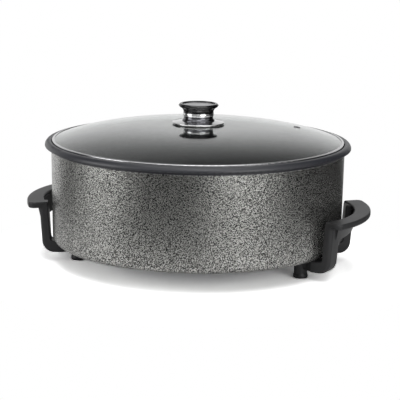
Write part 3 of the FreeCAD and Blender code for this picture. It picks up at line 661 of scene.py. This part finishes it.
@dataclass
class Grip:
    """Crescent plate that the hand holds; sizes in millimetres."""

    top: float = 83.5
    thickness: float = 8.0
    reach: float = 39.9
    finger_gap: float = 18.5
    overhang: float = 13.0
    corner_reach: float = 6.0
    setback: float = -0.4
    tip_inset: float = 1.5
    corner_round: float = 8.0
    tip_round: float = 2.8
    edge_round: float = 2.2
    join_gap: float = 0.5
    arc_steps: int = 56
    round_steps: int = 5

    def outline(self, wall: float, tip: Vector, corner: Vector) -> list[Vector]:
        """Plan of the plate.

        Args:
            wall: Radius of the pan's wall.
            tip: Inner corner at the +Y end.
            corner: Outer corner at the +Y end.

        Returns:
            Its points, anticlockwise.
        """
        mirror = Vector((1.0, -1.0, 1.0))
        outer = arc_through(corner * mirror, Vector((wall + self.reach, 0.0, 0.0)), corner,
                            self.arc_steps)
        inner = arc_through(tip, Vector((wall + self.finger_gap, 0.0, 0.0)), tip * mirror,
                            self.arc_steps)
        at_corner = bend(corner, tip, outer[-2], self.corner_round, 2 * self.round_steps)
        at_tip = bend(tip, inner[1], corner, self.tip_round, 2 * self.round_steps)
        outside = [p for p in outer if abs(p.y) < abs(at_corner[0].y) - self.join_gap]
        inside = [p for p in inner if abs(p.y) < abs(at_tip[-1].y) - self.join_gap]
        other_tip = [p * mirror for p in reversed(at_tip)]
        other_corner = [p * mirror for p in reversed(at_corner)]
        return outside + at_corner + at_tip + inside + other_tip + other_corner

    def build(self, wall: float, tip: Vector, corner: Vector) -> Piece:
        """Make the plate with its rounded edges.

        Args:
            wall: Radius of the pan's wall.
            tip: Inner corner at the +Y end.
            corner: Outer corner at the +Y end.

        Returns:
            The solid.
        """
        outline = self.outline(wall, tip, corner)
        turns = [math.radians(90.0 * i / self.round_steps) for i in range(self.round_steps + 1)]
        base = self.top - self.thickness
        rings = []
        for level, turn in ([(base + self.edge_round, -turn) for turn in reversed(turns)]
                            + [(self.top - self.edge_round, turn) for turn in turns]):
            height = level + self.edge_round * math.sin(turn)
            ring = inset(outline, self.edge_round * (1.0 - math.cos(turn)))
            rings.append([Vector((p.x, p.y, height)) for p in ring])
        return loft("grip", rings)


@dataclass
class Leg:
    """Leaning leg that bends into an arm under the pan; sizes in millimetres."""

    width: float = 25.5
    thickness: float = 12.0
    lean: float = 3.8
    gap: float = 5.2
    top: float = 81.5
    bevel: float = 1.2
    arm_top: float = 28.5
    arm_base: float = 12.0
    arm_width: float = 13.0
    taper_start: float = 13.0
    taper: float = 14.0
    outer_bend: float = 17.0
    inner_bend: float = 4.0
    outer_round: float = 5.0
    inner_round: float = 2.0
    bend_steps: int = 12
    taper_steps: int = 8
    round_steps: int = 5

    def inner(self, wall: float, grip_base: float, height: float) -> float:
        """Radius of the inner face at a height."""
        return wall + self.gap - (grip_base - height) * math.tan(math.radians(self.lean))

    def section(self, low: Vector, high: Vector, width: float) -> list[Vector]:
        """Rounded cross-section.

        Args:
            low: Its middle on the inner face.
            high: Its middle on the outer face.
            width: Its size along Y.

        Returns:
            Its points.
        """
        along = high - low
        thick, along = along.length, along.normalized()
        across = Vector((0.0, 1.0, 0.0))
        half, small, large = width / 2, self.inner_round, self.outer_round
        corners = ((small, small - half, small, 180), (thick - large, large - half, large, 270),
                   (thick - large, half - large, large, 0), (small, half - small, small, 90))
        ring = []
        for u, v, radius, start in corners:
            for i in range(self.round_steps + 1):
                turn = unit(start + 90 * i / self.round_steps)
                ring.append(low + along * (u + radius * turn.x) + across * (v + radius * turn.y))
        return ring

    def build(self, wall: float, grip_base: float, foot_distance: float, angle: float) -> Piece:
        """Make the leg and its arm.

        Args:
            wall: Radius of the pan's wall.
            grip_base: Height of the grip's underside.
            foot_distance: From the pan's axis to the foot's middle, where the arm ends.
            angle: Direction of the leg, degrees.

        Returns:
            The solid.
        """
        def face(height: float, depth: float) -> Vector:
            """Point of the leg at a depth behind its inner face."""
            return Vector((self.inner(wall, grip_base, height) + depth, 0.0, height))

        elbow_in, elbow_out = face(self.arm_top, 0.0), face(self.arm_base, self.thickness)
        end_in = Vector((foot_distance, 0.0, self.arm_top))
        end_out = Vector((foot_distance, 0.0, self.arm_base))
        inside = bend(elbow_in, end_in, face(self.top, 0.0), self.inner_bend, self.bend_steps)
        outside = bend(elbow_out, end_out, face(self.top, self.thickness), self.outer_bend,
                       self.bend_steps)
        shoulder = self.top - 2 * self.bevel
        stations = [(face(self.top, self.bevel), face(self.top, self.thickness), self.width),
                    (face(shoulder, 0.0), face(shoulder, self.thickness), self.width)]
        stations += [(low, high, self.width) for low, high in zip(inside, outside)]
        begin = face(self.arm_base, 0.0).x - self.taper_start
        for i in range(self.taper_steps + 1):
            share = i / self.taper_steps
            ease = share * share * (3 - 2 * share)
            x = begin - self.taper * share
            width = self.width + (self.arm_width - self.width) * ease
            stations.append((Vector((x, 0.0, self.arm_top)), Vector((x, 0.0, self.arm_base)),
                             width))
        stations.append((end_in, end_out, self.arm_width))
        turned = Matrix.Rotation(math.radians(angle), 3, "Z")
        return loft("leg", [[turned @ p for p in self.section(*station)] for station in stations])


@dataclass
class Apron:
    """Flared skirt under the grip, with an arch between the legs; sizes in millimetres."""

    drop: float = 19.0
    thickness: float = 4.0
    flare: float = 5.0
    arch_round: float = 7.0
    steps: int = 28
    round_steps: int = 8

    def build(self, grip: Grip, leg: Leg, wall: float, angle: float) -> Piece:
        """Make the skirt between two legs.

        Args:
            grip: Plate above it.
            leg: Leg at each end of it.
            wall: Radius of the pan's wall.
            angle: Direction of the +Y leg, degrees.

        Returns:
            The solid.
        """
        grip_base = grip.top - grip.thickness
        low, high = grip_base - self.drop, grip_base + grip.thickness / 2

        def outer(height: float) -> float:
            """Radius of the outer face at a height."""
            flare = self.flare * max(height - low, 0.0) / (high - low)
            return leg.inner(wall, grip_base, min(height, low)) + leg.thickness + flare

        foot = outer(low)
        spring = (foot * unit(angle) - leg.width / 2 * unit(angle + 90)).y
        flat = spring - self.arch_round
        columns = [(flat * i / self.steps, low) for i in range(self.steps)]
        for i in range(self.round_steps + 1):
            turn = math.radians(90 * i / self.round_steps)
            columns.append((flat + self.arch_round * math.sin(turn),
                            low - self.arch_round * (1 - math.cos(turn))))
        columns.append((foot * math.sin(math.radians(angle)), low - self.arch_round))
        columns = [(-y, base) for y, base in reversed(columns[1:])] + columns
        rings = []
        for y, base in columns:
            way = unit(math.degrees(math.asin(y / foot)))
            corners = ([(outer(z), z) for z in (base, low, high)]
                       + [(outer(z) - self.thickness, z) for z in (high, low, base)])
            rings.append([way * radius + Vector((0.0, 0.0, z)) for radius, z in corners])
        return loft("apron", rings)


@dataclass
class Handles:
    """Two moulded handles with a foot under each arm; sizes in millimetres."""

    sides: tuple[tuple[str, float], ...] = (("right", 0.0), ("left", 180.0))
    ends: tuple[str, ...] = ("front", "rear")
    wall: float = 200.0
    post_radius: float = 9.0
    socket_radius: float = 6.3
    socket_base: float = 21.0
    screw_hole: float = 2.7
    overcut: float = 1.0
    post_steps: int = 48
    grip: Grip = field(default_factory=Grip)
    leg: Leg = field(default_factory=Leg)
    apron: Apron = field(default_factory=Apron)

    def build(self) -> None:
        """Build the handles and dress the feet."""
        phenolic = PHENOLIC.material()
        for side, turn in self.sides:
            piece = self.build_handle(f"moulded_handle_{side}")
            finish_piece(piece, phenolic, "pan", turn)
            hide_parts(f"handle_{side}")
        dress(FOOT_RUBBER, *(f"foot_{side}_{end}" for side, _ in self.sides for end in self.ends))

    def build_handle(self, name: str) -> Piece:
        """Join the plate, the apron, the legs and a post over each foot.

        Args:
            name: Name of the piece.

        Returns:
            The handle, on the +X side.
        """
        low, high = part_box("foot_right_rear")
        spot = (low + high) / (2 * MM)
        distance = math.hypot(spot.x, spot.y)
        angle = abs(math.degrees(math.atan2(spot.y, spot.x)))
        foot_top = high.z / MM
        grip_base = self.grip.top - self.grip.thickness
        inner = self.leg.inner(self.wall, grip_base, grip_base)
        half = self.leg.width / 2
        ahead, across = unit(angle), unit(angle + 90)
        tip = ahead * (inner + self.grip.setback) + across * (half - self.grip.tip_inset)
        corner = (ahead * (inner + self.leg.thickness + self.grip.overhang)
                  + across * (half + self.grip.corner_reach))
        post = [(self.post_radius, foot_top), (self.post_radius, self.leg.arm_top)]
        hole = [(self.screw_hole, foot_top - self.overcut), (self.screw_hole, self.socket_base),
                (self.socket_radius, self.socket_base),
                (self.socket_radius, self.leg.arm_top + self.overcut)]
        handle = self.grip.build(self.wall, tip, corner)
        tools = [self.apron.build(self.grip, self.leg, self.wall, angle)]
        holes = []
        for way in (-angle, angle):
            middle = distance * unit(way)
            tools.append(self.leg.build(self.wall, grip_base, distance, way))
            tools.append(lathe("post", post, middle, self.post_steps))
            holes.append(lathe("hole", hole, middle, self.post_steps))
        combine(handle, tools, Operation.JOIN)
        combine(handle, holes, Operation.CUT)
        handle.name = name
        return handle


@dataclass
class Lid:
    """Glass dome in its steel band."""

    def build(self) -> None:
        """Dress the glass, band and eyelet."""
        dress(TemperedGlass(), "lid_glass")
        dress(BAND_STEEL, "lid_band")
        dress(DARK_STEEL, "vent_eyelet")


@dataclass
class Knob:
    """Knob with its bright foot and what holds it; sizes in millimetres.

    The grip is a spigot, a waisted neck, a shoulder and a wide cap with a rim round the inlay.
    """

    bright: tuple[str, ...] = ("knob_ring", "knob_saucer")
    seals: tuple[str, ...] = ("knob_gasket", "knob_inner_gasket")
    fit_gap: float = 0.05
    spigot_radius: float = 12.0
    neck_radius: float = 20.6
    neck_height: float = 4.0
    neck_draw: float = 0.2
    neck_edge_round: float = 0.4
    waist_round: float = 5.0
    shoulder_reach: float = 1.8
    shoulder_rise: float = 1.6
    shoulder_round: float = 3.0
    chin_inset: float = 1.8
    chin_drop: float = 2.2
    chin_round: float = 1.5
    rim: float = 3.0
    rim_edge: float = 2.2
    rim_outer_round: float = 1.0
    rim_top_round: float = 1.2
    rim_inner_round: float = 0.5
    inlay_radius: float = 22.4
    inlay_depth: float = 2.5
    inlay_thickness: float = 1.0
    inlay_round: float = 0.4
    inlay_border: float = 2.0
    turned_steps: int = 128

    def build(self) -> None:
        """Build the grip with its sunk inlay, and dress the other pieces."""
        grip = self.build_grip()
        finish_piece(grip, GLOSSY_PHENOLIC.material(), "lid")
        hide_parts("knob_grip")
        inlay = self.build_inlay()
        finish_piece(inlay, SPUN_INLAY.material(), "lid")
        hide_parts("knob_inlay")
        dress(POLISHED_CHROME, *self.bright)
        # The collar wears the chrome painted darker: painted shade for the dark room it mirrors.
        dress(PAINTED_DARK_CHROME, "knob_collar")
        dress(SILICONE, *self.seals)
        dress(BRASS, "knob_insert")

    def build_grip(self) -> Piece:
        """Turn the grip.

        Returns:
            The solid.
        """
        low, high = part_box("knob_grip")
        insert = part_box("knob_insert")[1]
        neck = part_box("knob_ring")[1].z / MM
        base, top, cap = low.z / MM, high.z / MM, high.x / MM
        bore = insert.x / MM + self.fit_gap
        recess = self.inlay_radius + self.fit_gap
        shoulder = neck + self.neck_height + self.shoulder_rise
        edge = top - self.rim_edge
        return lathe("knob_body", rounded([
            (bore, insert.z / MM, 0.0),
            (bore, base, 0.0),
            (self.spigot_radius, base, 0.0),
            (self.spigot_radius, neck, 0.0),
            (self.neck_radius + self.neck_draw, neck, self.neck_edge_round),
            (self.neck_radius - self.neck_draw, neck + self.neck_height / 2, self.waist_round),
            (self.neck_radius + self.shoulder_reach, shoulder, self.shoulder_round),
            (cap - self.chin_inset, edge - self.chin_drop, self.chin_round),
            (cap, edge, self.rim_outer_round),
            (recess + self.rim, top, self.rim_top_round),
            (recess, top, self.rim_inner_round),
            (recess, top - self.inlay_depth, 0.0),
        ]), ORIGIN, self.turned_steps)

    def build_inlay(self) -> Piece:
        """Turn the metal disc that lies in the recess.

        Returns:
            The solid.
        """
        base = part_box("knob_grip")[1].z / MM - self.inlay_depth
        top = base + self.inlay_thickness
        return lathe("knob_disc", rounded([
            (self.inlay_radius, base, 0.0),
            (self.inlay_radius, top, self.inlay_round),
            (self.inlay_radius - self.inlay_border, top, 0.0),
        ]), ORIGIN, self.turned_steps)


@dataclass
class Underside:
    """Element, inlet, reflector and all the fasteners."""

    finishes: tuple[tuple[Finish, tuple[str, ...]], ...] = (
        (SCREW_STEEL, ("handle_screws", "handle_washers", "clip_screws", "socket_screws",
                       "clamp_screws", "earth_screw", "reflector_screws", "knob_washer",
                       "knob_screw")),
        (ZINC_PLATE, ("element_clips", "probe_clamp")),
        (SHEATH, ("heating_element",)),
        (CERAMIC, ("end_seals",)),
        (PHENOLIC, ("inlet_socket",)),
        (NICKEL, ("terminal_pins",)),
        (DRAWN_ALUMINIUM, ("probe_sleeve",)),
        (BRASS, ("earth_contact",)),
        (ALUMINISED, ("reflector",)),
    )

    def build(self) -> None:
        """Dress what lies under the pan."""
        for finish, nodes in self.finishes:
            dress(finish, *nodes)


# ---- studio ----
@dataclass
class Softbox:
    """Rectangular lamp that faces a point."""

    name: str
    place: tuple[float, float, float]
    size: tuple[float, float]
    watts: float
    aim: tuple[float, float, float] = (0.0, 0.0, 0.1)

    def build(self) -> None:
        """Hang the lamp."""
        data = bpy.data.lights.new(self.name, "AREA")
        data.shape = "RECTANGLE"
        data.size, data.size_y = self.size
        data.energy = self.watts
        lamp = bpy.data.objects.new(self.name, data)
        lamp.location = self.place
        direction = Vector(self.aim) - Vector(self.place)
        lamp.rotation_euler = direction.to_track_quat("-Z", "Y").to_euler()
        bpy.context.scene.collection.objects.link(lamp)
        LOG.info("lamp %s", self.name)


@dataclass(frozen=True)
class Pool:
    """Brighter stretch of the floor, as metal and glass mirror it.

    It fades in between two cosines of the angle from its bearing, up to its gain.
    """

    bearing: float
    dim: float
    full: float
    gain: float


@dataclass
class Studio:
    """White floor and backdrop, soft lamps and the camera; sizes in metres.

    Each fade is where a change starts and ends: a radius for the paper, the rise of a direction for
    the ceiling and the window's sill, and a cosine of the angle from a bearing for the rest.
    """

    azimuth: float = 15.0
    camera_place: tuple[float, float, float] = (0.51201, -1.91111, 0.50498)
    camera_aim: tuple[float, float, float] = (0.00362, 0.00097, 0.08516)
    camera_roll: float = 0.8406
    lens_mm: float = 131.335
    view_end: float = 100.0
    floor_radius: float = 30.0
    floor_steps: int = 96
    world_fill: float = 0.30
    backdrop: float = 0.85
    room: float = 0.03
    room_bearing: float = 16.0
    wall_fade: tuple[float, float] = (-0.88, -0.55)
    floor_fade: tuple[float, float] = (-0.88, -0.50)
    ceiling: float = 0.47
    ceiling_fade: tuple[float, float] = (0.13, 0.60)
    window_fade: tuple[float, float] = (-0.25, 0.15)
    sill_fade: tuple[float, float] = (0.08, 0.20)
    pools: tuple[Pool, ...] = (Pool(-71.0, 0.80, 1.00, 0.40), Pool(34.0, 0.80, 0.99, 0.34))
    paper_plain: float = 0.9
    paper_seen: float = 3.0
    seen_fade: tuple[float, float] = (0.20, 0.33)
    mirrored_fade: tuple[float, float] = (0.24, 0.58)

    def at(self, bearing: float, distance: float, height: float) -> tuple[float, float, float]:
        """Place round the object.

        Args:
            bearing: Degrees to the right of the camera, seen from above.
            distance: From the pan's axis.
            height: Above the floor.

        Returns:
            The point in the object's frame.
        """
        angle = math.radians(self.azimuth + bearing)
        return (distance * math.sin(angle), -distance * math.cos(angle), height)

    def build(self) -> None:
        """Build the studio."""
        self.build_world()
        self.build_floor()
        self.build_camera()
        for lamp in (Softbox("overhead", self.at(180, 0.25, 1.9), (1.6, 1.6), watts=12.0),
                     Softbox("front_top", self.at(8, 1.3, 1.7), (1.0, 1.0), watts=9.0),
                     Softbox("left_strip", self.at(-70, 1.6, 0.42), (0.9, 0.8), watts=7.0),
                     Softbox("right_strip", self.at(34, 1.6, 0.42), (1.0, 0.8), watts=7.5)):
            lamp.build()

    def add_rays(self, tree: Tree) -> tuple[Socket, Socket]:
        """Tell the rays apart.

        Args:
            tree: Node tree of the world or of a material.

        Returns:
            1 for the camera's rays, and 1 for those that metal or glass sends.
        """
        path = add_node(tree, "LightPath")
        mirrored = add_node(tree, "Math",
                            links={0: path["Is Glossy Ray"], 1: path["Is Transmission Ray"]},
                            operation="MAXIMUM")
        return path["Is Camera Ray"], mirrored["Value"]

    def add_toward(self, tree: Tree, way: Socket, bearing: float, fade: tuple[float, float],
                   strengths: tuple[float, float] = (0.0, 1.0)) -> Socket:
        """Add a strength that changes with the angle from a bearing.

        Args:
            tree: Node tree of the world or of a material.
            way: Direction from the pan's axis.
            bearing: Degrees to the right of the camera.
            fade: Cosines where the change starts and ends.
            strengths: Strength before and after it.

        Returns:
            The strength.
        """
        cosine = add_node(tree, "VectorMath", {1: self.at(bearing, 1.0, 0.0)}, {0: way},
                          operation="DOT_PRODUCT")
        return add_node(tree, "MapRange",
                        {"From Min": fade[0], "From Max": fade[1],
                         "To Min": strengths[0], "To Max": strengths[1]},
                        {"Value": cosine["Value"]}, interpolation_type="SMOOTHSTEP")["Result"]

    def build_world(self) -> None:
        """White for the camera, a soft fill, and for metal and glass a dark room with a window."""
        world = bpy.data.worlds.new("studio")
        bpy.context.scene.world = world
        world.use_nodes = True
        tree = world.node_tree
        tree.nodes.clear()
        camera, mirrored = self.add_rays(tree)
        way = add_node(tree, "TexCoord")["Generated"]
        rise = add_node(tree, "SeparateXYZ", links={0: way})["Z"]
        room = self.add_toward(tree, way, self.room_bearing, self.wall_fade,
                               (self.backdrop, self.room))
        window = self.add_toward(tree, way, 0.0, self.window_fade)
        above, over_sill = (
            add_node(tree, "MapRange",
                     {"From Min": fade[0], "From Max": fade[1], "To Min": low, "To Max": high},
                     {"Value": rise}, interpolation_type="SMOOTHSTEP")["Result"]
            for fade, low, high in ((self.ceiling_fade, 1.0, self.ceiling),
                                    (self.sill_fade, 0.0, 1.0)))
        walls, glow = (
            add_node(tree, "Math", links={0: strength, 1: share}, operation="MULTIPLY")["Value"]
            for strength, share in ((room, above), (window, over_sill)))
        seen = add_node(tree, "Math", links={0: walls, 1: glow}, operation="MAXIMUM")
        fill = add_node(tree, "Mix", {"A": self.world_fill},
                        {"Factor": mirrored, "B": seen["Value"]}, data_type="FLOAT")
        strength = add_node(tree, "Mix", {"B": 1.0}, {"Factor": camera, "A": fill["Result"]},
                            data_type="FLOAT")
        white = add_node(tree, "Background", {"Color": linear("ffffff")},
                         {"Strength": strength["Result"]})
        add_node(tree, "OutputWorld", links={"Surface": white["Background"]})

    def build_floor(self) -> None:
        """Lay the floor."""
        mesh = bpy.data.meshes.new("floor")
        shape = bmesh.new()
        bmesh.ops.create_circle(shape, cap_ends=True, segments=self.floor_steps,
                                radius=self.floor_radius)
        shape.to_mesh(mesh)
        shape.free()
        mesh.materials.append(self.build_paper())
        floor = bpy.data.objects.new("floor", mesh)
        bpy.context.scene.collection.objects.link(floor)

    def build_paper(self) -> Material:
        """Make matt white paper that takes the shadow, and an evenly lit backdrop further out.

        Returns:
            The material.
        """
        material, tree = new_material("white_paper")
        camera, mirrored = self.add_rays(tree)
        place = add_node(tree, "TexCoord")["Object"]
        radius = add_node(tree, "VectorMath", links={0: place}, operation="LENGTH")
        beyond, beside = (
            add_node(tree, "MapRange", {"From Min": fade[0], "From Max": fade[1]},
                     {"Value": radius["Value"]}, interpolation_type="SMOOTHSTEP")["Result"]
            for fade in (self.seen_fade, self.mirrored_fade))
        far = add_node(tree, "Mix", links={"Factor": mirrored, "A": beyond, "B": beside},
                       data_type="FLOAT")
        looking = add_node(tree, "Math", links={0: mirrored, 1: camera}, operation="MAXIMUM")
        share = add_node(tree, "Math", links={0: far["Result"], 1: looking["Value"]},
                         operation="MULTIPLY")
        away = add_node(tree, "VectorMath", links={0: place}, operation="NORMALIZE")["Vector"]
        lit = self.add_toward(tree, away, self.room_bearing, self.floor_fade,
                              (self.backdrop, self.room))
        for pool in self.pools:
            more = self.add_toward(tree, away, pool.bearing, (pool.dim, pool.full),
                                   (0.0, pool.gain))
            lit = add_node(tree, "Math", links={0: lit, 1: more}, operation="ADD")["Value"]
        shown = add_node(tree, "Mix", {"B": 1.0}, {"Factor": camera, "A": lit}, data_type="FLOAT")
        pale = add_node(tree, "Mix", {"A": self.paper_plain, "B": self.paper_seen},
                        {"Factor": camera}, data_type="FLOAT")
        paper = add_node(tree, "BsdfDiffuse", links={"Color": pale["Result"]})
        white = add_node(tree, "Emission", links={"Strength": shown["Result"]})
        mix = add_node(tree, "MixShader",
                       links={0: share["Value"], 1: paper["BSDF"], 2: white["Emission"]})
        add_node(tree, "OutputMaterial", links={"Surface": mix["Shader"]})
        return material

    def build_camera(self) -> None:
        """Set up the camera."""
        data = bpy.data.cameras.new("camera")
        data.lens = self.lens_mm
        data.clip_end = self.view_end
        camera = bpy.data.objects.new("camera", data)
        camera.location = self.camera_place
        direction = Vector(self.camera_aim) - Vector(self.camera_place)
        turn = direction.to_track_quat("-Z", "Y").to_matrix()
        roll = Matrix.Rotation(math.radians(self.camera_roll), 3, "Z")
        camera.rotation_euler = (turn @ roll).to_euler()
        bpy.context.scene.collection.objects.link(camera)
        bpy.context.scene.camera = camera


def main() -> None:
    """Build the sub-assemblies in order, then the studio."""
    logging.basicConfig(level=logging.INFO, format="%(message)s")
    bpy.context.scene.view_settings.view_transform = "Standard"
    for assembly in (Pan(), Handles(), Lid(), Knob(), Underside(), Studio()):
        assembly.build()
        LOG.info("built %s", type(assembly).__name__)


if __name__ == "__main__":
    main()
